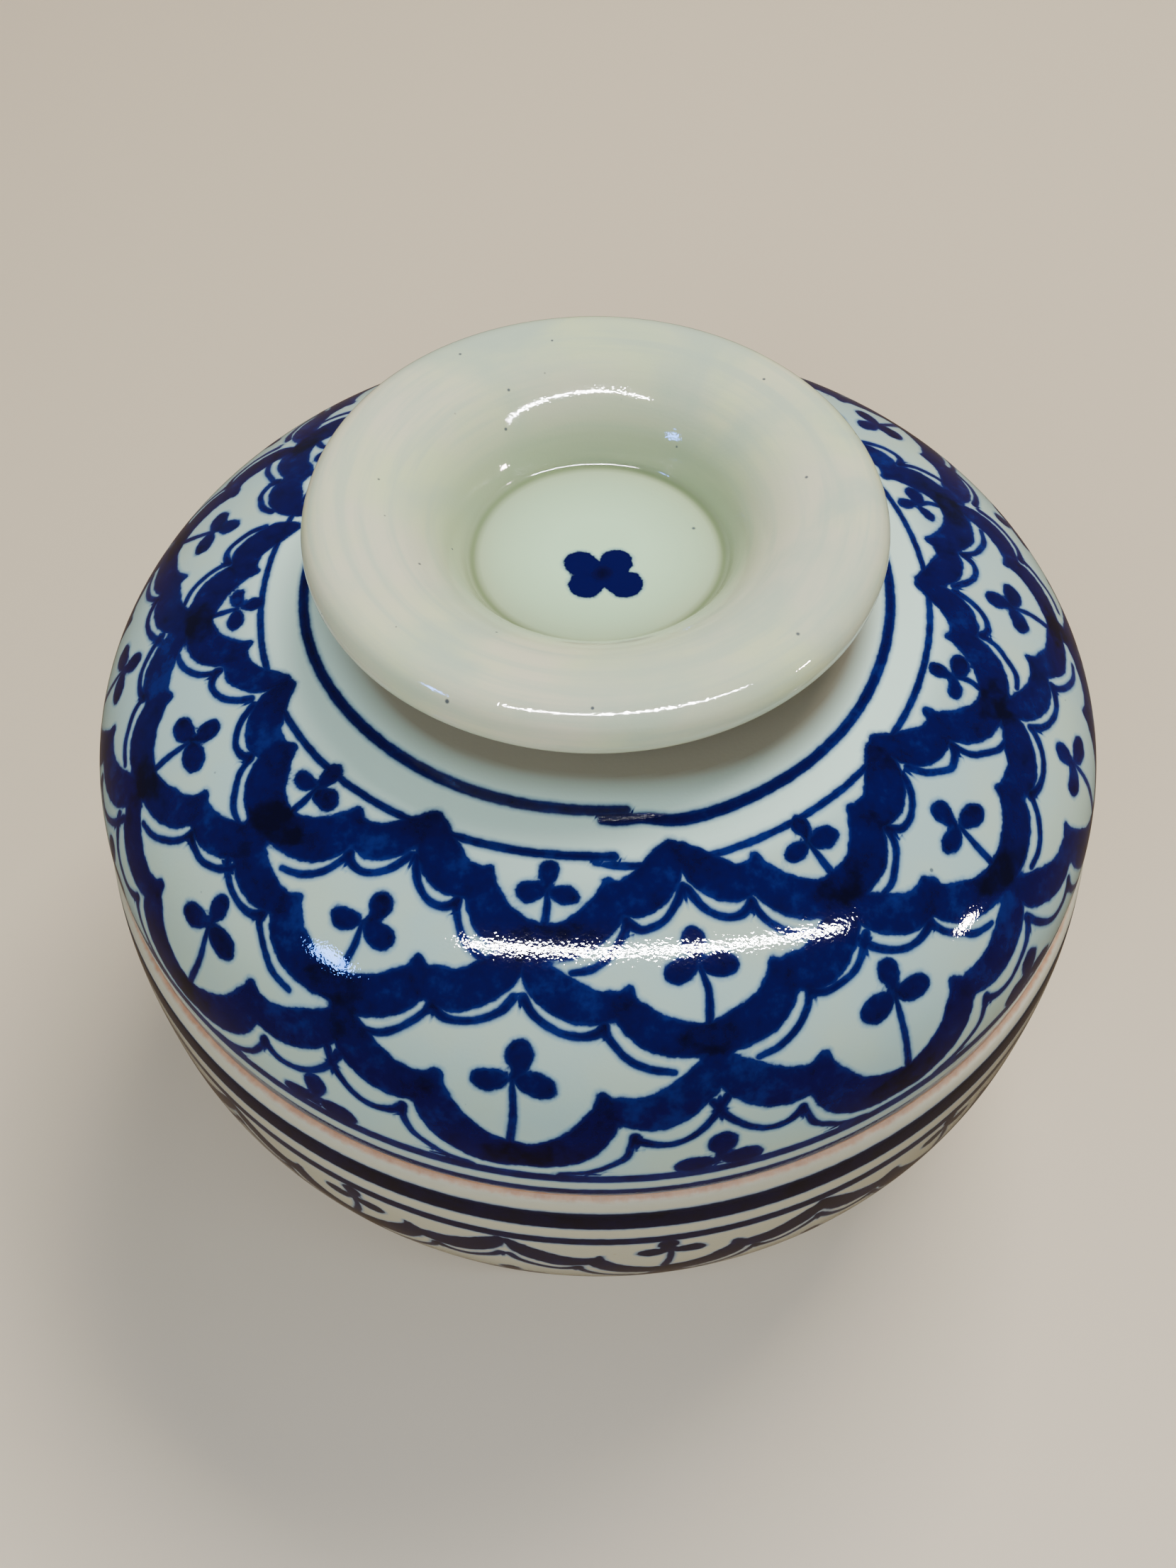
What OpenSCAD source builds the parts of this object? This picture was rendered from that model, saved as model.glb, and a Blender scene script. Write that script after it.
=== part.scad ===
// Covered rice bowl: a squat round stoneware bowl on a foot ring, and a domed lid that
// carries a wide flared ring as its knob. Every part is turned about the vertical axis.
// Origin: centre of the foot ring's underside. +Z is up. Millimetres.

/* [Bowl] */
// Widest diameter of the bowl, at its belly
belly_d = 229; // [226:1:240]
// Height of the belly above the table
belly_z = 75; // [70:1:80]
// Height of the rim that the lid sits on
rim_z = 103; // [98:1:108]
// Diameter of the mouth, inside the rim
mouth_d = 205; // [204:0.5:206]
// Thickness of the wall at the belly
wall_t = 7; // [6:0.5:8]
// Radius of the rolled outer edge of the rim
rim_round = 3; // [2:0.5:4]

/* [Foot] */
// Height of the foot ring
foot_h = 9; // [7:0.5:10]
// Outer diameter of the foot ring where it joins the bowl
foot_d = 114; // [106:1:115]
// Width of the foot ring where it joins the bowl
foot_w = 8; // [7:0.5:10]

/* [Lid] */
// Diameter of the lid at its edge
lid_d = 222; // [218:1:222]
// Height of the full dome above the lid's edge
dome_h = 54; // [53.5:0.5:58]
// Thickness of the lid's wall at its edge
lid_edge_t = 7.5; // [6:0.5:8]
// Height from the lid's edge to the flat that the knob is luted to
flat_h = 52.7; // [51:0.1:53]
// Thickness of the dome under that flat
crown_t = 5.2; // [4.5:0.1:6]
// How far the locating flange reaches below the rim
flange_drop = 8.5; // [6:0.5:10]
// Radial play of the flange in the bowl's mouth
flange_play = 1.5; // [1:0.1:2.5]
// Thickness of the flange
flange_t = 4; // [3.5:0.5:5]

/* [Knob] */
// Radius from the axis to the middle of the knob's rolled lip
lip_at = 50.3; // [48:0.1:52]
// Radius of the rolled lip itself
lip_r = 6.5; // [6:0.1:7]
// Height of the top of the lip above the dome's flat
knob_h = 22; // [20:0.5:24]
// Radius of the trumpet curve inside the knob
trumpet_r = 25.5; // [24:0.5:27]
// Thickness of the knob's floor
floor_t = 4.5; // [4:0.5:6]
// Radius of the knob's neck, where it stands on the dome
neck_r = 33; // [30:1:36]

/* [Hidden] */
$fn = 96;

CLAY = "burlywood";
GLAZE = "aliceblue";

// Gap between the lid's edge and the rim, so that the two bodies only just clear
seat_gap = 0.3;
lid_z = rim_z + seat_gap;
flat_z = lid_z + flat_h;

// Squareness of the bowl's and the lid's curves: 2 is an ellipse, more is fuller
upper_n = 3;
lower_n = 2.3;
inner_n = 2.5;
dome_n = 2.75;

// Small roundings on edges that are wiped bare of glaze
edge_r = 1.2;

// Half heights of the bowl's outer curve above and below the belly. They reach past the
// rim and the base, which cut the curve short.
outer_up = rim_z - belly_z + 43;
outer_down = belly_z - foot_h + 7;

// Half heights of the bowl's inner curve above and below the belly. The upper one is the
// curve that passes through the edge of the mouth.
base_t = 6.5;
inner_r = belly_d / 2 - wall_t;
mouth_h = rim_z - edge_r - belly_z;
inner_up = mouth_h / pow(1 - pow(mouth_d / 2 / inner_r, upper_n), 1 / upper_n);
inner_down = belly_z - foot_h - base_t;

// Angle on a superellipse quarter at height h above its widest level
function angle_at(h, b, n) = asin(pow(h / b, n / 2));

// Points of a superellipse about [0, z0], of radius a and half height b, from height h0 to
// h1 away from its widest level. side is 1 above that level and -1 below it.
function oval(z0, a, b, n, h0, h1, side = 1, steps = 24) =
    let (t0 = angle_at(h0, b, n), t1 = angle_at(h1, b, n))
    [for (i = [0 : steps])
        let (t = t0 + (t1 - t0) * i / steps)
        [a * pow(cos(t), 2 / n), z0 + side * b * pow(sin(t), 2 / n)]];

// Radius of that superellipse at height h
function oval_r(a, b, n, h) = a * pow(1 - pow(h / b, n), 1 / n);

// Points of a circular arc about [cx, cz], from angle a0 to a1
function arc(cx, cz, r, a0, a1, steps = 8) =
    [for (i = [0 : steps])
        let (a = a0 + (a1 - a0) * i / steps)
        [cx + r * cos(a), cz + r * sin(a)]];

// Section of the thrown bowl: flat base, full belly, rolled rim and a narrower mouth
module bowl_section() {
    shoulder_z = rim_z - rim_round;
    shoulder_r = oval_r(belly_d / 2, outer_up, upper_n, shoulder_z - belly_z);
    mouth_r = mouth_d / 2;
    polygon(concat(
        [[0, foot_h]],
        oval(belly_z, belly_d / 2, outer_down, lower_n, belly_z - foot_h, 0, -1),
        oval(belly_z, belly_d / 2, outer_up, upper_n, 1, shoulder_z - belly_z - 0.5, 1, 10),
        arc(shoulder_r - rim_round, shoulder_z, rim_round, 0, 90),
        arc(mouth_r + edge_r, rim_z - edge_r, edge_r, 90, 180, 4),
        oval(belly_z, inner_r, inner_up, upper_n, mouth_h - 0.5, 0, 1, 10),
        oval(belly_z, inner_r, inner_down, inner_n, 1, inner_down, -1)));
}

// Section of the dome: a rounded bare edge, a flat for the knob and an even wall
module dome_section() {
    inner_a = lid_d / 2 - lid_edge_t;
    inner_b = flat_h - crown_t;
    polygon(concat(
        arc(lid_d / 2 - edge_r, lid_z + edge_r, edge_r, 270, 360, 4),
        oval(lid_z, lid_d / 2, dome_h, dome_n, 2, flat_h),
        [[0, flat_z]],
        oval(lid_z, inner_a, inner_b, dome_n, inner_b, 0)));
}

// Section of the flange before the dome's own wall is taken away from it
module flange_blank() {
    outer = mouth_d / 2 - flange_play;
    inner = outer - flange_t;
    tip_z = rim_z - flange_drop;
    wall_z = lid_z + 9;
    shoulder = 3.5;
    polygon(concat(
        arc(inner + edge_r, tip_z + edge_r, edge_r, 180, 270, 4),
        arc(outer - edge_r, tip_z + edge_r, edge_r, 270, 360, 4),
        [[outer, lid_z], [lid_d / 2 - 2, lid_z], [lid_d / 2 - 2, wall_z]],
        arc(inner + shoulder, wall_z - shoulder, shoulder, 90, 180, 4)));
}

// Section of the foot ring, which tapers a little to the face that it stands on
module foot_section() {
    taper = 1.5;
    outer = foot_d / 2;
    inner = foot_d / 2 - foot_w;
    polygon(concat(
        [[inner, foot_h]],
        arc(inner + taper + edge_r, edge_r, edge_r, 180, 270, 4),
        arc(outer - taper - edge_r, edge_r, edge_r, 270, 360, 4),
        [[outer, foot_h]]));
}

// Section of the knob: a flat floor, a wall that opens like a trumpet, a rolled lip, and a
// hollow underneath that runs smoothly from the neck into the lip for the fingers
module knob_section() {
    lip_h = knob_h - lip_r;
    reach = lip_at - neck_r;
    hollow_r = (reach * reach + lip_h * lip_h - lip_r * lip_r) / (2 * (reach + lip_r));
    meet = atan2(lip_h, reach - hollow_r);
    trumpet_h = knob_h - trumpet_r;
    floor_a = 180 - asin((floor_t - trumpet_h) / trumpet_r);
    translate([0, flat_z]) polygon(concat(
        [[0, floor_t], [0, 0]],
        arc(neck_r + hollow_r, 0, hollow_r, 180, meet, 12),
        arc(lip_at, lip_h, lip_r, meet + 180, 450, 20),
        arc(lip_at, trumpet_h, trumpet_r, 92, floor_a, 16)));
}

module bowl_body() {
    color(GLAZE) rotate_extrude() bowl_section();
}

module bowl_foot_ring() {
    color(CLAY) rotate_extrude() foot_section();
}

module lid_dome() {
    color(GLAZE) rotate_extrude() dome_section();
}

module lid_flange() {
    color(CLAY) rotate_extrude() difference() {
        flange_blank();
        dome_section();
    }
}

module lid_knob() {
    color(GLAZE) rotate_extrude() knob_section();
}

bowl_body();
bowl_foot_ring();
lid_dome();
lid_flange();
lid_knob();
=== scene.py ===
"""Looks for the covered rice bowl: five glazed or bare clay pieces turned about Z, painted
with cobalt brush strokes. Lengths are in millimetres and azimuths in degrees from the front
(-Y), positive towards +X, until a mesh is made, which is in metres. Lamps and the camera are
placed in metres."""

import math

import bmesh
import bpy
import numpy as np
from mathutils import Matrix, Vector


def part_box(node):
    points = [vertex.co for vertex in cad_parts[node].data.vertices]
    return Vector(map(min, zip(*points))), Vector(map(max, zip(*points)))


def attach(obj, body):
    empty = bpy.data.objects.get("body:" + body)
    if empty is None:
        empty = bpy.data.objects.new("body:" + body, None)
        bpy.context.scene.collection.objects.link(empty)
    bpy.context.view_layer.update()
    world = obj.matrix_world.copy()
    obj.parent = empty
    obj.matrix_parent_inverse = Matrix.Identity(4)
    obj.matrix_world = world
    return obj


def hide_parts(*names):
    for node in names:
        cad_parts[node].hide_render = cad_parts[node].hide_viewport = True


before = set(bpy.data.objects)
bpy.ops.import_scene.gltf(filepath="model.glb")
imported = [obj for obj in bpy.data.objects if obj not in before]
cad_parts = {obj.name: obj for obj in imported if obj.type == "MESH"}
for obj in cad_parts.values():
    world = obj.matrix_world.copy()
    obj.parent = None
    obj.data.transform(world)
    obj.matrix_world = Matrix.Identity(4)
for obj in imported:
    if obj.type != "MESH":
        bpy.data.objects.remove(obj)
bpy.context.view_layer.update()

MM = 0.001
SEED = 11
rng = np.random.default_rng(SEED)


def box_mm(node):
    """Lowest and highest corner of a CAD node, in millimetres."""
    low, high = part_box(node)
    return np.array(low) / MM, np.array(high) / MM


# ---------------------------------------------------------------- sizes read off the CAD

BOWL_LOW, BOWL_HIGH = box_mm("bowl_body")
_, FOOT_HIGH = box_mm("bowl_foot_ring")
DOME_LOW, DOME_HIGH = box_mm("lid_dome")
FLANGE_LOW, _ = box_mm("lid_flange")
KNOB_LOW, KNOB_HIGH = box_mm("lid_knob")

# Outer radii stay this far inside the CAD's
INSIDE = 0.1

BELLY_R = BOWL_HIGH[0] - 1.5 * INSIDE
BASE_Z = BOWL_LOW[2]
RIM_Z = BOWL_HIGH[2]
BELLY_Z = RIM_Z - 28.0
LID_Z = DOME_LOW[2]
LID_R = DOME_HIGH[0] - INSIDE
FLAT_Z = KNOB_LOW[2]
KNOB_TOP = KNOB_HIGH[2]
KNOB_R = KNOB_HIGH[0] - INSIDE
FOOT_R = FOOT_HIGH[0] - INSIDE
FOOT_TOP = FOOT_HIGH[2]
FLANGE_TIP = FLANGE_LOW[2]

# ---------------------------------------------------------------- sizes the boxes don't give

# Bowl: wall, floor and mouth, the roundings of its edges, and the squareness of its curves,
# which reach past the rim and the base that cut them short
WALL = 7.0
BOWL_FLOOR = 6.5
MOUTH_R = 102.5
RIM_ROUND = 3.0
EDGE_R = 1.2
UPPER_SQUARE = 3.0
UPPER_PAST = 43.0
LOWER_SQUARE = 2.3
LOWER_PAST = 7.0
INNER_SQUARE = 2.5

# Foot ring
FOOT_W = 8.0
FOOT_TAPER = 1.5

# Lid: its full dome, its wall at the edge and at the crown, and the flange's play and wall
DOME_H = 54.0
DOME_SQUARE = 2.75
LID_WALL = 7.5
CROWN_T = 5.2
INNER_DOME_H = FLAT_Z - LID_Z - CROWN_T
FLANGE_PLAY = 1.5
FLANGE_T = 4.0
FLANGE_UP = 9.0
FLANGE_FILLET = 3.5

# Knob
NECK_R = 33.0
LIP_R = 6.4
TRUMPET_R = 25.5
KNOB_FLOOR = 4.5
FLOOR_FILLET = 2.2
LEAN = 1.2
SHIFT = 1.0


# ---------------------------------------------------------------- outlines


def arc(cx, cz, radius, start, end, steps):
    """Points of a circular arc in the (radius, height) plane, angles in degrees."""
    angles = np.radians(np.linspace(start, end, steps + 1))
    return np.stack([cx + radius * np.cos(angles), cz + radius * np.sin(angles)], 1)


def oval(z0, a, b, n, start, end, steps):
    """Superellipse about (0, z0) from height start to height end, either side of z0."""
    heights = np.linspace(start, end, 400)
    radii = a * (1 - np.clip(np.abs(heights) / b, 0, 1) ** n) ** (1 / n)
    return even(np.stack([radii, z0 + heights], 1), steps)


def lengths(points):
    """Distance along a line of points, from its first point."""
    return np.concatenate([[0], np.cumsum(np.hypot(*np.diff(points, axis=0).T))])


def even(points, steps):
    """The same line of points, spaced evenly along its length."""
    along = lengths(points)
    at = np.linspace(0, along[-1], steps + 1)
    return np.stack([np.interp(at, along, points[:, k]) for k in (0, 1)], 1)


def join(*lines):
    """One line from several that follow each other."""
    return np.concatenate([lines[0]] + [line[1:] for line in lines[1:]])


# ---------------------------------------------------------------- turned meshes

# Columns of vertices round each piece. The painted pieces have the most, yet each stays
# under 200,000 triangles, so that the strokes' edges are clean.
LID_COLUMNS = 680
BOWL_COLUMNS = 640
OTHER_COLUMNS = 360


def turned(name, outline, columns, wobble=None):
    """A mesh turned about Z from a closed or open outline of (radius, height) points. Points
    on the axis become one vertex. wobble(azimuth) shifts the radius. Returns the object and
    each vertex's outline index and azimuth."""
    azimuth = np.arange(columns) * 360.0 / columns - 180.0
    closed = np.allclose(outline[0], outline[-1])
    points = outline[:-1] if closed else outline
    where, index, angle, rows = [], [], [], []
    for i, (radius, height) in enumerate(points):
        start = sum(len(w) for w in where)
        if radius < 1e-6:
            where.append([[0.0, 0.0, height]])
            index.append([i])
            angle.append([0.0])
            rows.append(np.full(columns, start))
            continue
        r = np.full(columns, radius)
        if wobble is not None:
            r = r + wobble(azimuth)
        a = np.radians(azimuth)
        where.append(np.stack([r * np.sin(a), -r * np.cos(a), np.full(columns, height)], 1))
        index.append(np.full(columns, i))
        angle.append(azimuth)
        rows.append(start + np.arange(columns))
    pairs = [(i, i + 1) for i in range(len(points) - 1)]
    if closed:
        pairs.append((len(points) - 1, 0))
    faces = []
    for i, j in pairs:
        low, high = rows[i], rows[j]
        low_on_axis = low[0] == low[1]
        high_on_axis = high[0] == high[1]
        if low_on_axis and high_on_axis:
            continue
        low_next, high_next = np.roll(low, -1), np.roll(high, -1)
        if low_on_axis:
            faces.append(np.stack([low, high_next, high], 1).tolist())
        elif high_on_axis:
            faces.append(np.stack([low, low_next, high], 1).tolist())
        else:
            faces.append(np.stack([low, low_next, high_next, high], 1).tolist())
    mesh = bpy.data.meshes.new(name)
    vertices = np.concatenate([np.asarray(w, float) for w in where]) * MM
    mesh.from_pydata(vertices.tolist(), [], [f for block in faces for f in block])
    mesh.update()
    mesh.polygons.foreach_set("use_smooth", np.ones(len(mesh.polygons), bool))
    ob = bpy.data.objects.new(name, mesh)
    bpy.context.scene.collection.objects.link(ob)
    return ob, np.concatenate(index), np.concatenate(angle)


def facing_out(ob):
    """Turns a closed mesh's faces outwards."""
    bm = bmesh.new()
    bm.from_mesh(ob.data)
    bmesh.ops.recalc_face_normals(bm, faces=bm.faces)
    bm.to_mesh(ob.data)
    bm.free()
    return ob


def store(ob, name, values):
    """A number or a vector for each vertex, which the materials read."""
    values = np.asarray(values, np.float32)
    if values.ndim == 1:
        ob.data.attributes.new(name, "FLOAT", "POINT").data.foreach_set("value", values)
    else:
        vectors = ob.data.attributes.new(name, "FLOAT_VECTOR", "POINT")
        vectors.data.foreach_set("vector", values.ravel())


# ---------------------------------------------------------------- brush strokes


class Surface:
    """The painted side of a piece: each vertex's azimuth, distance along the outline and
    radius, and what the strokes leave on it. broad and fine are distances to the nearest
    stroke's edge, less than 0 inside. offset points from the middle of the nearest fine
    stroke to the vertex, and half is that stroke's half width: between vertices they give a
    thin line's edge exactly. ink grows where strokes cross."""

    # Distance that stands for no stroke at all
    FAR = 6.0
    # Width over which the ink fades at a stroke's edge
    SOFT = 1.5
    # Share of the thinner ink that is added where two strokes cross
    CROSSING = 0.35

    def __init__(self, azimuth, along, radius):
        self.azimuth = azimuth
        self.along = along
        self.radius = radius
        self.broad = np.full(len(azimuth), self.FAR)
        self.fine = np.full(len(azimuth), self.FAR)
        self.offset = np.full((len(azimuth), 3), [self.FAR, 0.0, 0.0])
        self.half = np.zeros(len(azimuth))
        self.ink = np.zeros(len(azimuth))

    def stroke(self, points, tone=(0.5, 0.5), kind="broad"):
        """One touch of the brush through points (azimuth, along, half width). tone is the ink
        at its start and at its end."""
        line = spline(np.array(points, float))
        margin = line[:, 2].max() + self.FAR
        near = (self.along > line[:, 1].min() - margin) & (self.along < line[:, 1].max() + margin)
        middle = 0.5 * (line[:, 0].min() + line[:, 0].max())
        reach = 0.5 * (line[:, 0].max() - line[:, 0].min())
        turn = (self.azimuth - middle + 180.0) % 360.0 - 180.0
        per_degree = np.radians(np.maximum(self.radius, 5.0))
        near &= np.abs(turn) < reach + margin / per_degree
        chosen = np.flatnonzero(near)
        if len(chosen) == 0:
            return
        x_scale = per_degree[chosen]
        best = np.full(len(chosen), 1e9)
        share = np.zeros(len(chosen))
        offset = np.zeros((len(chosen), 3))
        half = np.zeros(len(chosen))
        count = len(line) - 1
        # a is the step from the vertex to the start of this bit of the stroke, b along it
        for k in range(count):
            ax = (line[k, 0] - middle - turn[chosen]) * x_scale
            ay = line[k, 1] - self.along[chosen]
            bx = (line[k + 1, 0] - line[k, 0]) * x_scale
            by = line[k + 1, 1] - line[k, 1]
            t = np.clip(-(ax * bx + ay * by) / (bx * bx + by * by + 1e-9), 0, 1)
            w = line[k, 2] + t * (line[k + 1, 2] - line[k, 2])
            x, y = ax + t * bx, ay + t * by
            d = np.hypot(x, y) - w
            closer = d < best
            best = np.where(closer, d, best)
            share = np.where(closer, (k + t) / count, share)
            offset[closer, 0] = x[closer]
            offset[closer, 1] = y[closer]
            half[closer] = w[closer]
        if kind == "broad":
            self.broad[chosen] = np.minimum(self.broad[chosen], best)
        else:
            won = best < self.fine[chosen]
            self.fine[chosen[won]] = best[won]
            self.offset[chosen[won]] = offset[won]
            self.half[chosen[won]] = half[won]
        cover = np.clip(0.5 - best / self.SOFT, 0, 1)
        new = cover * (tone[0] + (tone[1] - tone[0]) * share)
        old = self.ink[chosen]
        self.ink[chosen] = np.maximum(old, new) + self.CROSSING * np.minimum(old, new)


def spline(points, steps=5):
    """A smooth line through three or more points of (azimuth, along, half width)."""
    padded = np.concatenate([[2 * points[0] - points[1]], points, [2 * points[-1] - points[-2]]])
    out = [points[0]]
    for i in range(1, len(padded) - 2):
        p0, p1, p2, p3 = padded[i - 1 : i + 3]
        for t in np.linspace(0, 1, steps + 1)[1:]:
            bend = 2 * p1 + (p2 - p0) * t + (2 * p0 - 5 * p1 + 4 * p2 - p3) * t**2
            bend = bend + (3 * p1 - p0 - 3 * p2 + p3) * t**3
            out.append(0.5 * bend)
    out = np.array(out)
    finest = 0.3
    out[:, 2] = np.maximum(out[:, 2], finest)
    return out


def jitter(size):
    """The hand's small error, about this large."""
    return rng.normal(0, size)


CUSP_AT = 9.8


class Row:
    """One row of scallops. low, cusp and apex are distances along the outline to the bottom
    of a scallop, to the cusp on its side and to the point where two scallops meet. middles
    are the azimuths of its flowers, and flower is their size and distance. width goes with
    the brush, scale with the width of a whole scallop, and spread moves the apexes towards or
    away from the cusps."""

    def __init__(self, levels, middles, width=1.0, spread=1.0, flower=(1.0, 0.0), scale=1.0):
        self.low, self.cusp, self.apex = levels
        self.middles = middles
        self.width = width
        self.spread = spread
        self.flower_size, self.flower_at = flower
        self.scale = scale

    def height(self, v):
        """Distance along the outline at level v: 0 is the bottom, 1 the cusp, 2 the apex.
        Below the bottom one level is 10 mm."""
        if v < 0:
            return self.low + 10.0 * v
        if v < 1:
            return self.low + v * (self.cusp - self.low)
        return self.cusp + (v - 1) * (self.apex - self.cusp)

    def turn(self, u):
        """Degrees from the middle of a scallop for the pattern's own degrees u."""
        past_cusp = max(0.0, u - CUSP_AT)
        return self.scale * (u - past_cusp + past_cusp * self.spread)


# Brush strokes of one side of a scallop in a row: (degrees from its middle, level, half width)
UPPER_LOBE = [
    (9.6, 1.04, 2.6),
    (11.2, 0.97, 3.2),
    (13.4, 1.0, 3.7),
    (15.8, 1.2, 3.8),
    (17.9, 1.5, 3.3),
    (19.7, 1.93, 1.7),
]
LOWER_LOBE = [
    (8.3, 1.34, 1.1),
    (8.7, 1.1, 2.2),
    (8.4, 0.86, 3.1),
    (7.5, 0.58, 3.6),
    (5.6, 0.25, 3.8),
    (2.8, 0.03, 3.5),
    (0.2, -0.02, 3.1),
    (-1.6, 0.0, 2.3),
    (-3.0, 0.06, 1.2),
]
UPPER_ECHO = [
    (11.2, 0.44, 1.15),
    (12.9, 0.28, 0.9),
    (14.9, 0.28, 0.8),
    (16.8, 0.46, 0.8),
    (18.5, 0.74, 0.9),
    (19.8, 1.08, 1.0),
]
LOWER_ECHO = [
    (11.2, 0.50, 1.1),
    (10.9, 0.30, 0.85),
    (10.0, 0.0, 0.8),
    (8.6, -0.23, 0.8),
    (6.7, -0.44, 0.8),
    (4.4, -0.53, 0.7),
]
PETALS = [
    [(0.1, -0.3, 0.5), (0.1, 2.1, 1.5), (0.1, 4.1, 2.45), (0.1, 4.9, 2.1)],
    [(-0.3, -0.1, 0.6), (-1.3, -0.6, 2.0), (-2.4, -1.0, 2.4), (-3.1, -1.0, 1.9)],
    [(0.4, -0.1, 0.6), (1.5, -0.6, 2.1), (2.8, -0.9, 2.6), (3.6, -1.2, 1.9)],
]


def scallop(surface, row, middle):
    """The thick outline of one scallop, and the thin line that follows it outside."""
    lift = jitter(0.35)
    for side in (-1, 1):
        for lobe, dark in ((UPPER_LOBE, (0.42, 0.55)), (LOWER_LOBE, (0.42, 0.70))):
            swell = row.width * (1 + jitter(0.06))
            du = jitter(0.3)
            points = [
                (
                    middle + side * row.turn(u) + du,
                    row.height(v) + lift + jitter(0.15),
                    swell * w + jitter(0.08),
                )
                for u, v, w in lobe
            ]
            surface.stroke(points, [t + jitter(0.07) for t in dark])
        for lobe in (UPPER_ECHO, LOWER_ECHO):
            points = [
                (middle + side * row.turn(u) + jitter(0.1), row.height(v) + lift + jitter(0.12), w)
                for u, v, w in lobe
            ]
            surface.stroke(points, (0.55, 0.38), "fine")


def trefoil(surface, middle, centre, foot, size, wide=1.0):
    """Three petals on a stem that reaches down to foot. wide spreads the petals sideways."""
    lean = jitter(0.3)
    for petal in PETALS:
        grow = size * (1 + jitter(0.07))
        points = [
            (middle + wide * (u + lean * (v > 1)), centre + size * (v + jitter(0.15)), grow * w)
            for u, v, w in petal
        ]
        surface.stroke(points, (0.50 + jitter(0.05), 0.66 + jitter(0.06)))
    stem = [
        (middle + 0.1, centre - 0.3, 0.6),
        (middle + 0.3 + jitter(0.2), 0.5 * (centre + foot), 0.8),
        (middle + jitter(0.2), foot, 0.9),
    ]
    surface.stroke(stem, (0.5, 0.40), "fine")


def ring(surface, points, tone=(0.45, 0.45)):
    """A long line brushed round the piece while it turns."""
    surface.stroke(points, tone, "fine")


ODD_CELLS = (-7.2, 31.0, 71.0, 109.5, 150.5, 192.0, 233.5, 275.3, 314.3)
EVEN_CELLS = (11.7, 50.4, 90.4, 131.0, 172.0, 213.5, 255.2, 294.4, 331.7)


def paint_lid(surface):
    """Two rings at the top, three rows of scallops, and two lines above the bare edge."""
    ring(
        surface,
        [
            (-185, 80.5, 1.1),
            (-120, 80.4, 1.15),
            (-75, 80.4, 1.1),
            (-35, 81.2, 1.2),
            (-8, 81.9, 1.15),
            (5.0, 81.9, 1.0),
        ],
        (0.5, 0.62),
    )
    ring(
        surface,
        [
            (0.9, 80.1, 0.9),
            (3.5, 79.9, 1.1),
            (8, 80.0, 1.15),
            (14, 78.6, 1.3),
            (24, 78.6, 1.25),
            (48, 79.5, 1.1),
            (75, 80.8, 1.15),
            (120, 80.5, 1.1),
            (185, 80.5, 1.1),
        ],
        (0.6, 0.5),
    )
    ring(
        surface,
        [
            (-185, 71.6, 0.8),
            (-100, 71.5, 0.8),
            (-50, 70.8, 0.8),
            (-20, 72.5, 0.85),
            (-5, 73.1, 0.9),
            (2.6, 73.1, 1.0),
        ],
        (0.42, 0.5),
    )
    ring(
        surface,
        [
            (-0.3, 72.0, 0.6),
            (4, 71.3, 0.85),
            (12, 70.9, 0.75),
            (25, 71.0, 0.8),
            (50, 71.8, 0.8),
            (80, 72.5, 0.8),
            (130, 71.9, 0.8),
            (185, 71.6, 0.8),
        ],
        (0.40, 0.42),
    )
    rows = (
        Row((57.2, 65.2, 74.0), ODD_CELLS, 1.06, 0.90, (0.80, 66.6)),
        Row((39.9, 46.9, 55.5), EVEN_CELLS, 1.02, 1.0, (0.96, 52.3)),
        Row((16.3, 27.6, 37.5), ODD_CELLS, 1.10, 1.02, (1.0, 34.6)),
    )
    for row in rows:
        for middle in row.middles:
            middle += jitter(0.3)
            scallop(surface, row, middle)
            place = row.flower_at + jitter(0.4)
            trefoil(surface, middle + jitter(0.4), place, row.low + 2.5, row.flower_size)
    for middle in EVEN_CELLS:
        trefoil(surface, middle + jitter(0.4), 13.4, 12.0, 1.05)
    ring(surface, [(-185, 9.5, 1.4), (-60, 9.7, 1.45), (40, 9.3, 1.4), (185, 9.5, 1.4)], (0.3, 0.3))
    ring(surface, [(-185, 3.4, 1.35), (-70, 3.5, 1.4), (60, 3.3, 1.4), (185, 3.4, 1.35)], (0.3, 0.3))


def paint_bowl(surface):
    """A band and a line under the rim, two rows of scallops, and two lines near the foot.
    Distances run down from the rim's top, so they are counted as less than 0."""
    band = [(-185, -8.4, 3.1), (-40, -8.5, 3.2), (60, -8.3, 3.2), (185, -8.4, 3.1)]
    ring(surface, band, (0.78, 0.78))
    line = [(-185, -17.9, 1.6), (-30, -18.0, 1.6), (70, -17.8, 1.7), (185, -17.9, 1.6)]
    ring(surface, line, (0.45, 0.45))
    count = 11
    pitch = 360.0 / count
    first = 7.5
    upper = [first + pitch * k for k in range(count)]
    lower = [middle + pitch / 2 for middle in upper]
    scale = pitch / 40.0
    rows = (
        Row((-38.0, -30.0, -20.5), upper, 0.85, 1.0, (0.85, -24.5), scale),
        Row((-61.0, -51.0, -40.5), lower, 0.9, 1.0, (0.95, -45.5), scale),
    )
    for row in rows:
        for middle in row.middles:
            middle += jitter(0.5)
            scallop(surface, row, middle)
            place = row.flower_at + jitter(0.5)
            trefoil(surface, middle, place, row.low + 2.5, row.flower_size, row.scale)
    for middle in upper:
        trefoil(surface, middle + jitter(0.5), -66.0, -73.0, 0.9, scale)
    ring(surface, [(-185, -77.5, 1.2), (0, -77.8, 1.3), (185, -77.5, 1.2)])
    ring(surface, [(-185, -83.0, 1.9), (0, -82.7, 1.9), (185, -83.0, 1.9)], (0.6, 0.6))


# ---------------------------------------------------------------- shader helpers


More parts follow.
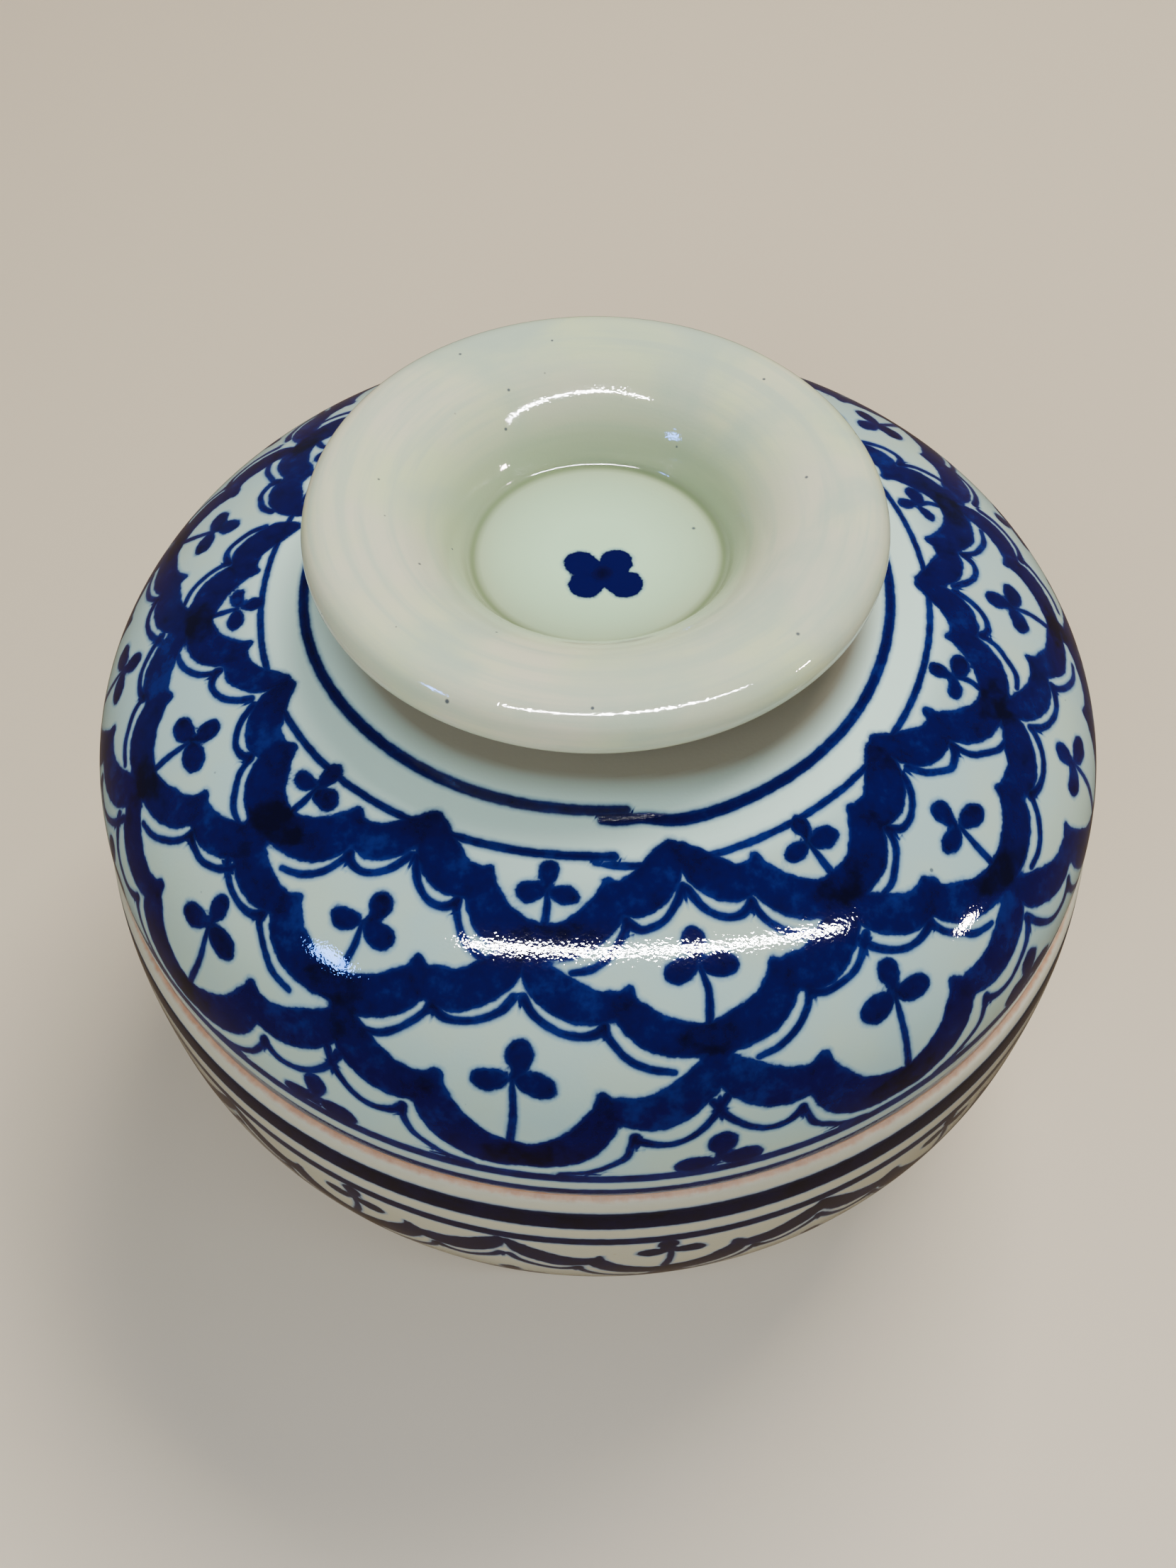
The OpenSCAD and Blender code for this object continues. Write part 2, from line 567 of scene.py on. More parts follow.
class Nodes:
    """Short names for building one material's nodes."""

    def __init__(self, name):
        self.material = bpy.data.materials.new(name)
        self.material.use_nodes = True
        self.tree = self.material.node_tree
        self.tree.nodes.clear()
        self.output = self.tree.nodes.new("ShaderNodeOutputMaterial")
        self.place = self.tree.nodes.new("ShaderNodeTexCoord").outputs["Object"]

    def put(self, value, socket):
        """Links a node's output to a socket, or sets the socket to a plain value."""
        if isinstance(value, bpy.types.NodeSocket):
            self.tree.links.new(value, socket)
        else:
            socket.default_value = value

    def math(self, operation, a, b=0.0, c=0.0):
        node = self.tree.nodes.new("ShaderNodeMath")
        node.operation = operation
        for value, socket in zip((a, b, c), node.inputs):
            self.put(value, socket)
        return node.outputs[0]

    def attribute(self, name):
        node = self.tree.nodes.new("ShaderNodeAttribute")
        node.attribute_name = name
        return node.outputs["Fac"]

    def line_edge(self):
        """Distance to the edge of the nearest fine stroke. Midway between two strokes the
        offset turns round through 0, and there the plain distance takes over."""
        node = self.tree.nodes.new("ShaderNodeAttribute")
        node.attribute_name = "offset"
        size = self.tree.nodes.new("ShaderNodeVectorMath")
        size.operation = "LENGTH"
        self.tree.links.new(node.outputs["Vector"], size.inputs[0])
        exact = self.math("SUBTRACT", size.outputs["Value"], self.attribute("half"))
        plain = self.math("SUBTRACT", self.attribute("fine"), 0.4)
        return self.math("MAXIMUM", exact, plain)

    def rings(self, size_mm, detail=2.0):
        """Noise drawn out round the axis, as a potter's fingers leave it."""
        parts = self.tree.nodes.new("ShaderNodeSeparateXYZ")
        self.tree.links.new(self.place, parts.inputs[0])
        x, y, z = parts.outputs
        squares = self.math("ADD", self.math("MULTIPLY", x, x), self.math("MULTIPLY", y, y))
        radius = self.math("SQRT", squares)
        join_up = self.tree.nodes.new("ShaderNodeCombineXYZ")
        self.put(radius, join_up.inputs[0])
        self.put(z, join_up.inputs[1])
        self.put(self.math("MULTIPLY", self.math("ADD", x, y), 0.06), join_up.inputs[2])
        node = self.tree.nodes.new("ShaderNodeTexNoise")
        node.inputs["Scale"].default_value = 1.0 / (size_mm * MM)
        node.inputs["Detail"].default_value = detail
        self.tree.links.new(join_up.outputs[0], node.inputs["Vector"])
        return node.outputs["Fac"]

    def noise(self, size_mm, detail=2.0, roughness=0.5, distortion=0.0):
        """Noise from 0 to 1 whose features are about size_mm wide."""
        node = self.tree.nodes.new("ShaderNodeTexNoise")
        node.inputs["Scale"].default_value = 1.0 / (size_mm * MM)
        node.inputs["Detail"].default_value = detail
        node.inputs["Roughness"].default_value = roughness
        node.inputs["Distortion"].default_value = distortion
        self.tree.links.new(self.place, node.inputs["Vector"])
        return node.outputs["Fac"]

    def dots(self, size_mm, threshold):
        """1 in the middle of scattered round dots, 0 elsewhere."""
        node = self.tree.nodes.new("ShaderNodeTexVoronoi")
        node.inputs["Scale"].default_value = 1.0 / (size_mm * MM)
        node.inputs["Randomness"].default_value = 1.0
        self.tree.links.new(self.place, node.inputs["Vector"])
        pick = self.tree.nodes.new("ShaderNodeSeparateColor")
        self.tree.links.new(node.outputs["Color"], pick.inputs[0])
        few = self.math("GREATER_THAN", pick.outputs[0], threshold)
        size = self.math("MULTIPLY_ADD", pick.outputs[1], 0.05, 0.035)
        close = self.ramp(self.math("DIVIDE", node.outputs["Distance"], size), 1.0, 0.4)
        return self.math("MULTIPLY", few, close)

    def ramp(self, value, low, high):
        """0 at low, 1 at high, smooth between."""
        node = self.tree.nodes.new("ShaderNodeMapRange")
        node.interpolation_type = "SMOOTHSTEP"
        self.put(value, node.inputs["Value"])
        flip = low > high
        node.inputs["From Min"].default_value = min(low, high)
        node.inputs["From Max"].default_value = max(low, high)
        node.inputs["To Min"].default_value = 1.0 if flip else 0.0
        node.inputs["To Max"].default_value = 0.0 if flip else 1.0
        return node.outputs["Result"]

    def mix(self, factor, a, b):
        """Mixes two colours."""
        node = self.tree.nodes.new("ShaderNodeMix")
        node.data_type = "RGBA"
        self.put(factor, node.inputs["Factor"])
        for value, socket in ((a, node.inputs[6]), (b, node.inputs[7])):
            if isinstance(value, tuple):
                socket.default_value = (*value, 1.0)
            else:
                self.put(value, socket)
        return node.outputs[2]

    def blend(self, factor, a, b):
        """Mixes two numbers."""
        difference = self.math("SUBTRACT", b, a)
        return self.math("MULTIPLY_ADD", difference, factor, a)

    def bump(self, height, strength, distance_mm, normal=None):
        node = self.tree.nodes.new("ShaderNodeBump")
        node.inputs["Strength"].default_value = strength
        node.inputs["Distance"].default_value = distance_mm * MM
        self.put(height, node.inputs["Height"])
        if normal is not None:
            self.tree.links.new(normal, node.inputs["Normal"])
        return node.outputs["Normal"]

    def finish(self, colour, roughness, normal):
        shader = self.tree.nodes.new("ShaderNodeBsdfPrincipled")
        self.put(colour, shader.inputs["Base Color"])
        self.put(roughness, shader.inputs["Roughness"])
        shader.inputs["IOR"].default_value = 1.45
        self.tree.links.new(normal, shader.inputs["Normal"])
        self.tree.links.new(shader.outputs[0], self.output.inputs["Surface"])
        return self.material


# ---------------------------------------------------------------- materials

MILK = (0.35, 0.49, 0.475)
MILK_GREEN = (0.40, 0.51, 0.43)
BROWN_STAIN_AND_SHADE = (0.17, 0.11, 0.065)
MILK_PALE_LIT = (0.56, 0.74, 0.66)
MILK_WARM_AND_BOUNCE = (0.48, 0.43, 0.31)
CREAM = (0.59, 0.66, 0.385)
CREAM_ROSE = (0.63, 0.61, 0.455)
CREAM_COOL = (0.44, 0.53, 0.41)
WALL_GREEN_AND_SHADE = (0.31, 0.385, 0.225)
WELL_GREEN = (0.49, 0.72, 0.46)
POOL = (0.13, 0.18, 0.08)
SPECK = (0.05, 0.06, 0.09)
COBALT = (0.0017, 0.0008, 0.050)
COBALT_DARK = (0.0006, 0.0004, 0.010)
COBALT_LIGHT = (0.003, 0.012, 0.125)
COBALT_BURNT_AND_SHADED = (0.0060, 0.0045, 0.0080)
COBALT_WASH = (0.07, 0.19, 0.36)
CLAY = (0.36, 0.155, 0.06)
CLAY_PALE = (0.46, 0.25, 0.12)
GRIT = (0.20, 0.10, 0.05)
FLOOR_BEIGE = (0.55, 0.46, 0.34)
ROOM_LOW = (0.14, 0.105, 0.07)
ROOM_HIGH = (0.125, 0.13, 0.15)


def glaze_skin(n):
    """Normal of fired glaze: fine orange peel over slow waves from the potter's hand."""
    slow = n.bump(n.noise(14.0, 2.0), 0.12, 0.5)
    soft = n.bump(n.noise(3.0, 2.0, 0.5), 0.05, 0.15, slow)
    return n.bump(n.noise(0.6, 1.0), 0.25, 0.075, soft)


def clay_colour(n):
    """Toasted clay, mottled."""
    tone = n.ramp(n.noise(3.0, 5.0, 0.65), 0.3, 0.7)
    return n.mix(tone, CLAY, CLAY_PALE)


def milky_ground(n):
    """The pale glaze between the strokes: speckled, paler at the crown as painted light in the
    knob's shade, brown at the knob's neck as a stain and painted shade under the lip, and warm
    low down, as a warmer glaze and painted warm light from the table."""
    milk = n.mix(n.ramp(n.noise(26.0, 3.0), 0.35, 0.65), MILK, MILK_GREEN)
    milk = n.mix(n.math("MULTIPLY", n.dots(7.0, 0.45), 0.8), milk, SPECK)
    # Paler at the crown: painted light lifting the shade round the knob, over a paler glaze
    milk = n.mix(n.attribute("crown"), milk, MILK_PALE_LIT)
    # Brown at the neck: a stain, deepened into painted shade under the knob's lip
    milk = n.mix(n.attribute("neck"), milk, BROWN_STAIN_AND_SHADE)
    # Warm low down: a warmer glaze and painted warm light bounced from the table
    return n.mix(n.attribute("warm"), milk, MILK_WARM_AND_BOUNCE)


def cobalt_strokes(n, edge):
    """The strokes' own blue: dark where ink gathers or strokes cross, lighter where it is
    thin and along its edges, and near black low down where the glaze is warm, as burnt cobalt
    and painted shade with the table's warm reflection."""
    streaks = n.math("MULTIPLY_ADD", n.noise(1.6, 3.0, 0.6), 0.4, n.noise(6.0, 3.0, 0.6))
    ink = n.math("MULTIPLY_ADD", streaks, 1.3, n.attribute("ink"))
    ink = n.math("SUBTRACT", ink, 0.91)
    blue = n.mix(n.ramp(ink, 0.45, 1.15), COBALT, COBALT_DARK)
    thin = n.ramp(ink, 0.50, 0.10)
    blue = n.mix(n.math("MULTIPLY", thin, 0.7), blue, COBALT_LIGHT)
    fringe = n.ramp(edge, -0.9, 0.0)
    blue = n.mix(n.math("MULTIPLY", fringe, 0.5), blue, COBALT_LIGHT)
    # Near black low down: burnt cobalt and painted shade with the table's warm reflection
    return n.mix(n.math("MULTIPLY", n.attribute("warm"), 0.75), blue, COBALT_BURNT_AND_SHADED)


def painted_glaze():
    """Milky glaze over cobalt strokes, bare clay where the glaze was wiped off, and a rougher
    gloss where the attribute dry is high."""
    n = Nodes("painted_glaze")
    ragged = n.math("SUBTRACT", n.noise(1.9, 3.0, 0.55), 0.5)
    broad = n.math("ADD", n.attribute("broad"), ragged)
    fine = n.math("MULTIPLY_ADD", ragged, 0.5, n.line_edge())
    edge = n.math("MINIMUM", broad, fine)
    halo = n.math("MULTIPLY", n.ramp(edge, 1.0, 0.0), 0.6)
    colour = n.mix(halo, milky_ground(n), COBALT_WASH)
    colour = n.mix(n.ramp(edge, 0.30, -0.25), colour, cobalt_strokes(n, edge))

    bare = n.math("MULTIPLY_ADD", ragged, 0.6, n.attribute("bare"))
    clay = n.ramp(bare, 0.35, -0.35)
    colour = n.mix(clay, colour, clay_colour(n))
    gloss = n.blend(n.attribute("dry"), 0.03, 0.45)
    roughness = n.blend(clay, gloss, 0.75)
    return n.finish(colour, roughness, glaze_skin(n))


def celadon_ground(n):
    """Creamy green glaze, greener and darker down the wall as glaze and painted shade in the recess,
    greener in the well, dark where it pools.
    """
    cream = n.mix(n.ramp(n.noise(30.0, 3.0), 0.35, 0.65), CREAM, CREAM_ROSE)
    cream = n.mix(n.ramp(n.noise(34.0, 4.0, 0.5, 0.8), 0.42, 0.72), cream, CREAM_COOL)
    streaks = n.math("MULTIPLY", n.ramp(n.rings(2.0, 4.0), 0.40, 0.70), 0.6)
    cream = n.mix(streaks, cream, CREAM_COOL)
    # Greener glaze and painted shade, deeper towards the recess floor
    cream = n.mix(n.math("MULTIPLY", n.attribute("wall"), 0.8), cream, WALL_GREEN_AND_SHADE)
    cream = n.mix(n.attribute("well"), cream, WELL_GREEN)
    cream = n.mix(n.math("MULTIPLY", n.attribute("pool"), 0.8), cream, POOL)
    return n.mix(n.math("MULTIPLY", n.dots(7.0, 0.2), 0.9), cream, SPECK)


def celadon_glaze():
    """The knob's glaze, with one brushed mark in cobalt."""
    n = Nodes("celadon_glaze")
    ragged = n.math("MULTIPLY_ADD", n.noise(1.8, 3.0, 0.6), 1.3, -0.65)
    edge = n.math("ADD", n.attribute("broad"), ragged)
    ink = n.math("MULTIPLY_ADD", n.noise(4.0, 4.0, 0.6), 0.5, n.attribute("ink"))
    blue = n.mix(n.ramp(ink, 0.6, 1.4), COBALT, COBALT_DARK)
    halo = n.math("MULTIPLY", n.ramp(edge, 0.9, 0.0), 0.5)
    colour = n.mix(halo, celadon_ground(n), COBALT_WASH)
    colour = n.mix(n.ramp(edge, 0.28, -0.22), colour, blue)
    thrown = n.bump(n.rings(3.0), 0.3, 0.25, glaze_skin(n))
    return n.finish(colour, 0.045, thrown)


def bare_clay():
    """Unglazed stoneware, toasted orange-brown and a little gritty."""
    n = Nodes("bare_clay")
    colour = n.mix(n.math("MULTIPLY", n.dots(2.4, 0.7), 0.5), clay_colour(n), GRIT)
    grain = n.bump(n.noise(0.6, 4.0, 0.7), 0.4, 0.12)
    grit = n.bump(n.noise(4.0, 3.0), 0.3, 0.3, grain)
    return n.finish(colour, n.blend(n.noise(2.0), 0.7, 0.9), grit)


# ---------------------------------------------------------------- pieces

# On the lid, distances up the outline from the seam: how much is wiped bare, how far it is
# dry and how far warm, partly with painted warm light from the table, and where the glaze
# turns paler with painted light and then brown, a stain with painted shade, towards the knob
BARE_TO = 2.1
DRY_TO = 3.0
WARM_TO = 14.0
PALE_LIT_FROM = 66.0
STAIN_AND_SHADE_FROM = 81.5

# On the bowl, the seat is bare from this far outside the mouth to this radius and down to this
# depth, and the base is bare this far out from the foot ring
SEAT_FROM = 0.8
SEAT_R = 111.7
SEAT_DEEP = 0.6
BASE_BARE = 1.5


def wave(azimuth, count, phase=0.0):
    """From -1 to 1 and back, count times round the piece."""
    return np.cos(np.radians(count * azimuth + phase))


def hand(amount, seed):
    """A slight out-of-round of up to amount, always inwards."""
    local = np.random.default_rng(seed)
    parts = [(k, local.uniform(0, 360), local.uniform(0.4, 1.0)) for k in (2, 3, 5)]
    total = sum(p[2] for p in parts)

    def shift(azimuth):
        out_of_round = sum(s * wave(azimuth, k, p) for k, p, s in parts) / total
        return amount * (out_of_round - 1) * 0.5

    return shift


def attributes(ob, surface, painted, bare):
    """Stores what the strokes left. Vertices that aren't painted get plain glaze."""
    for name, values in (("broad", surface.broad), ("fine", surface.fine)):
        full = np.full(len(painted), Surface.FAR)
        full[painted] = values
        store(ob, name, full)
    for name, values in (("ink", surface.ink), ("half", surface.half)):
        full = np.zeros(len(painted))
        full[painted] = values
        store(ob, name, full)
    offset = np.full((len(painted), 3), [Surface.FAR, 0.0, 0.0])
    offset[painted] = surface.offset
    store(ob, "offset", offset)
    store(ob, "bare", bare)


def lid_inside(start, end, steps):
    """The inner curve of the dome between two heights above the lid's edge."""
    return oval(LID_Z, LID_R - LID_WALL, INNER_DOME_H, DOME_SQUARE, start, end, steps)


def lid_dome(material):
    """The dome, painted outside, with a bare rounded edge and a plain glazed inside."""
    edge_h = 1.6
    outer = oval(LID_Z, LID_R, DOME_H, DOME_SQUARE, edge_h, FLAT_Z - LID_Z, 119)
    corner = arc(LID_R - EDGE_R, LID_Z + EDGE_R, EDGE_R, -90, 0, 3)
    low_edge = join(corner, outer[:1])
    inner = lid_inside(INNER_DOME_H, 0.0, 14)
    crown = even(np.array([outer[-1], [0, FLAT_Z]]), 3)
    outline = join(low_edge, outer, crown)
    outline = np.concatenate([outline, inner, outline[:1]])
    first = len(low_edge) - 1
    last = first + len(outer) - 1
    ob, index, azimuth = turned("lid_dome_glazed", outline, LID_COLUMNS, hand(0.5, 3))
    along_outline = lengths(outline)
    seam = along_outline[first] - edge_h
    painted = (index >= first) & (index <= last)
    rows = index[painted]
    surface = Surface(azimuth[painted], along_outline[rows] - seam, outline[rows, 0])
    paint_lid(surface)
    along = along_outline[index] - seam
    bare = along - BARE_TO + 0.25 * wave(azimuth, 3) + 0.2 * wave(azimuth, 7, -90)
    bare = np.where(index > last, Surface.FAR, bare)
    on_seat = (index > last) & (outline[index, 1] < LID_Z + 3.0)
    bare = np.where(on_seat, -Surface.FAR, bare)
    attributes(ob, surface, painted, bare)
    # Brown stain and painted shade under the knob's lip, from here towards the neck
    neck_from = STAIN_AND_SHADE_FROM + 1.2 * wave(azimuth, 2, 60) + 0.8 * wave(azimuth, 5)
    outside = index <= last + len(crown) - 1
    neck = np.clip((along - neck_from) / 6.0, 0, 1) * outside
    store(ob, "neck", 0.85 * neck**1.2)
    # Painted light: paler from here up to the knob, lifting the shade round it
    store(ob, "crown", np.clip((along - PALE_LIT_FROM) / 8.0, 0, 1))
    # Warm near the seam: a warmer glaze and painted warm light from the table
    store(ob, "warm", np.clip((WARM_TO - along) / WARM_TO, 0, 1) * 0.6)
    store(ob, "dry", np.clip((DRY_TO - along) / 2.0, 0, 1))
    return dress(ob, material, "lid", "lid_dome")


def bowl_body(material):
    """The bowl, painted outside and plain inside, bare on the lid's seat and round the foot."""
    square = UPPER_SQUARE
    upper_b = RIM_Z - BELLY_Z + UPPER_PAST
    lower_b = BELLY_Z - BASE_Z + LOWER_PAST
    shoulder_z = RIM_Z - RIM_ROUND
    shoulder_r = BELLY_R * (1 - ((shoulder_z - BELLY_Z) / upper_b) ** square) ** (1 / square)
    rim = arc(shoulder_r - RIM_ROUND, shoulder_z, RIM_ROUND, 90, 0, 6)
    upper = oval(BELLY_Z, BELLY_R, upper_b, square, shoulder_z - BELLY_Z - 0.5, 0, 26)
    lower = oval(BELLY_Z, BELLY_R, lower_b, LOWER_SQUARE, 0, BASE_Z - BELLY_Z, 84)
    inner_r = BELLY_R - WALL
    mouth_h = RIM_Z - EDGE_R - BELLY_Z
    inner_up = mouth_h / (1 - (MOUTH_R / inner_r) ** square) ** (1 / square)
    inner_down = BELLY_Z - BASE_Z - BOWL_FLOOR
    base = even(np.array([lower[-1], [0, BASE_Z]]), 4)
    floor = oval(BELLY_Z, inner_r, inner_down, INNER_SQUARE, -inner_down, 0, 20)
    wall = oval(BELLY_Z, inner_r, inner_up, square, 0, mouth_h, 5)
    lip = arc(MOUTH_R + EDGE_R, RIM_Z - EDGE_R, EDGE_R, 180, 90, 3)
    outer = np.concatenate([rim, join(upper, lower)])
    outline = np.concatenate([outer, base[1:], floor, wall[1:], lip[1:], outer[:1]])
    last = len(outer) - 1
    ob, index, azimuth = turned("bowl_body_glazed", outline, BOWL_COLUMNS, hand(0.4, 5))
    along_outline = lengths(outline)
    painted = index <= last
    rows = index[painted]
    surface = Surface(azimuth[painted], -along_outline[rows], outline[rows, 0])
    paint_bowl(surface)
    radius, height = outline[index].T
    seat = np.maximum(RIM_Z - SEAT_DEEP - height, radius - SEAT_R)
    seat = np.maximum(seat, MOUTH_R + SEAT_FROM - radius)
    past_foot = np.maximum(radius - FOOT_R - (BASE_BARE - 0.3), 0)
    above_base = np.maximum(height - BASE_Z, 0)
    under = np.hypot(past_foot, above_base) - 0.3
    under = np.where(height > BASE_Z + 5, Surface.FAR, under)
    under = np.where(radius < FOOT_R - 10, Surface.FAR, under)
    bare = np.where(height > BELLY_Z, seat, under)
    attributes(ob, surface, painted, bare)
    store(ob, "neck", np.zeros(len(index)))
    store(ob, "crown", np.zeros(len(index)))
    # The whole bowl is warm: a warmer glaze and painted warm light from the table
    store(ob, "warm", np.full(len(index), 0.85))
    store(ob, "dry", np.clip((height - RIM_Z + 6.0) / 2.0, 0, 1))
    return dress(ob, material, "bowl", "bowl_body")


def lean_and_shift(ob, low, high):
    """Lets the knob lean to the front and shift to the left at its top, as it settled when it
    was luted on. Its neck stays flat on the dome, its back stays at its full height."""
    drop = math.tan(math.radians(LEAN))
    for vertex in ob.data.vertices:
        share = (vertex.co.z / MM - low) / (high - low)
        vertex.co.z -= share * drop * (KNOB_R * MM - vertex.co.y)
        vertex.co.x -= share * SHIFT * MM


def floor_mark(ob, on_floor):
    """Four brushed petals on the knob's floor, a little off its middle."""
    co = np.zeros(len(ob.data.vertices) * 3)
    ob.data.vertices.foreach_get("co", co)
    place = co.reshape(-1, 3)[:, :2] / MM
    broad = np.full(len(place), Surface.FAR)
    ink = np.zeros(len(place))
    heart = np.array([0.9, -6.0])
    petals = ((148, 5.2, 3.4), (52, 4.2, 3.4), (-33, 5.0, 3.7), (-138, 4.4, 3.6))
    for angle, length, half in petals:
        turn = math.radians(angle)
        tip = heart + length * np.array([math.cos(turn), math.sin(turn)])
        root = heart + 0.25 * (tip - heart)
        stroke = tip - root
        along = np.clip(((place - root) @ stroke) / (stroke @ stroke), 0, 1)
        away = place - root - along[:, None] * stroke
        d = np.hypot(*away.T) - (0.7 + 0.3 * along) * half
        broad = np.where(on_floor, np.minimum(broad, d), broad)
        ink = ink + np.where(on_floor, np.clip(0.5 - d / 2.5, 0, 1) * 0.25, 0)
    store(ob, "broad", broad)
    store(ob, "ink", ink)


def lid_knob(material):
    """A flat floor with a brushed mark, a trumpet wall, a rolled lip and a hollow under it."""
    lip_at = KNOB_R - LIP_R - INSIDE
    lip_z = KNOB_TOP - LIP_R
    reach = lip_at - NECK_R
    lip_h = lip_z - FLAT_Z
    hollow = (reach**2 + lip_h**2 - LIP_R**2) / (2 * (reach + LIP_R))
    meet = math.degrees(math.atan2(lip_h, reach - hollow))
    trumpet_z = KNOB_TOP - TRUMPET_R
    floor_z = FLAT_Z + KNOB_FLOOR
    fillet = FLOOR_FILLET
    turn_h = floor_z + fillet - trumpet_z
    turn_r = lip_at - math.sqrt((TRUMPET_R + fillet) ** 2 - turn_h**2)
    start = math.degrees(math.atan2(-turn_h, lip_at - turn_r))
    under = arc(NECK_R + hollow, FLAT_Z, hollow, 180, meet, 14)
    lip = arc(lip_at, lip_z, LIP_R, meet - 180, 90, 26)
    trumpet = arc(lip_at, trumpet_z, TRUMPET_R, 90, 180 + start, 30)
    corner = arc(turn_r, floor_z + fillet, fillet, start, -90, 8)
    floor = even(np.array([corner[-1], [0, floor_z]]), 28)
    outline = np.concatenate([[[0, FLAT_Z]], under, lip[1:], trumpet[1:], corner[1:], floor[1:]])
    ob, index, azimuth = turned("lid_knob_glazed", outline, OTHER_COLUMNS, hand(0.5, 8))
    lean_and_shift(ob, FLAT_Z, KNOB_TOP)
    radius, height = outline[index].T
    on_floor = index >= len(outline) - len(floor)
    inside = index >= len(under) + len(lip) - 1
    depth = (KNOB_TOP - height) / (KNOB_TOP - floor_z)
    # How deep into the recess: the glaze there is greener and darkened as painted shade
    store(ob, "wall", np.where(inside, np.clip((depth - 0.10) / 0.55, 0, 1), 0.0))
    store(ob, "well", on_floor * np.clip((turn_r - radius) / 15.0, 0, 1) ** 0.6)
    crease = np.exp(-(((radius - turn_r - 0.8) / 0.9) ** 2))
    store(ob, "pool", np.where(inside & (depth > 0.8), crease, 0.0))
    floor_mark(ob, on_floor)
    return dress(ob, material, "lid", "lid_knob")


def lid_flange(material):
    """The bare ring that drops into the mouth. Its back lies against the dome's inside."""
    outer = MOUTH_R - FLANGE_PLAY
    inner = outer - FLANGE_T
    edge = EDGE_R
    fillet = FLANGE_FILLET
    outline = np.concatenate(
        [
            arc(inner + edge, FLANGE_TIP + edge, edge, 180, 270, 5),
            arc(outer - edge, FLANGE_TIP + edge, edge, 270, 360, 5),
            [[outer, LID_Z]],
            lid_inside(0.0, FLANGE_UP, 6),
            arc(inner + fillet, LID_Z + FLANGE_UP - fillet, fillet, 90, 180, 6),
        ]
    )
    outline = np.concatenate([outline, outline[:1]])
    ob, _, _ = turned("lid_flange_clay", outline, OTHER_COLUMNS, hand(0.3, 13))
    return dress(ob, material, "lid", "lid_flange")


def foot_ring(material):
    """The bare ring that the bowl stands on, a little narrower at the table."""
    inner = FOOT_R - FOOT_W
    inset = FOOT_TAPER + EDGE_R
    outline = np.concatenate(
        [
            [[inner, FOOT_TOP]],
            arc(inner + inset, EDGE_R, EDGE_R, 180, 270, 5),
            arc(FOOT_R - inset, EDGE_R, EDGE_R, 270, 360, 5),
            [[FOOT_R, FOOT_TOP]],
            [[inner, FOOT_TOP]],
        ]
    )
    ob, _, _ = turned("bowl_foot_ring_clay", outline, OTHER_COLUMNS, hand(0.3, 17))
    return dress(ob, material, "bowl", "bowl_foot_ring")


def dress(ob, material, body, node):
    """Gives a piece its material and its place in the frame."""
    facing_out(ob)
    ob.data.materials.append(material)
    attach(ob, body)
    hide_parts(node)
    return ob


# ---------------------------------------------------------------- studio


def room():
    """An even dim room, warm below the horizon as if lit back from the table."""
    world = bpy.data.worlds.new("room")
    world.use_nodes = True
    tree = world.node_tree
    place = tree.nodes.new("ShaderNodeTexCoord")
    parts = tree.nodes.new("ShaderNodeSeparateXYZ")
    tree.links.new(place.outputs["Generated"], parts.inputs[0])
    rise = tree.nodes.new("ShaderNodeMapRange")
    rise.inputs["From Min"].default_value = -0.10
    rise.inputs["From Max"].default_value = 0.10
    tree.links.new(parts.outputs["Z"], rise.inputs["Value"])
    tone = tree.nodes.new("ShaderNodeMix")
    tone.data_type = "RGBA"
    tone.inputs[6].default_value = (*ROOM_LOW, 1)
    tone.inputs[7].default_value = (*ROOM_HIGH, 1)
    tree.links.new(rise.outputs["Result"], tone.inputs["Factor"])
    tree.links.new(tone.outputs[2], tree.nodes["Background"].inputs[0])
    bpy.context.scene.world = world


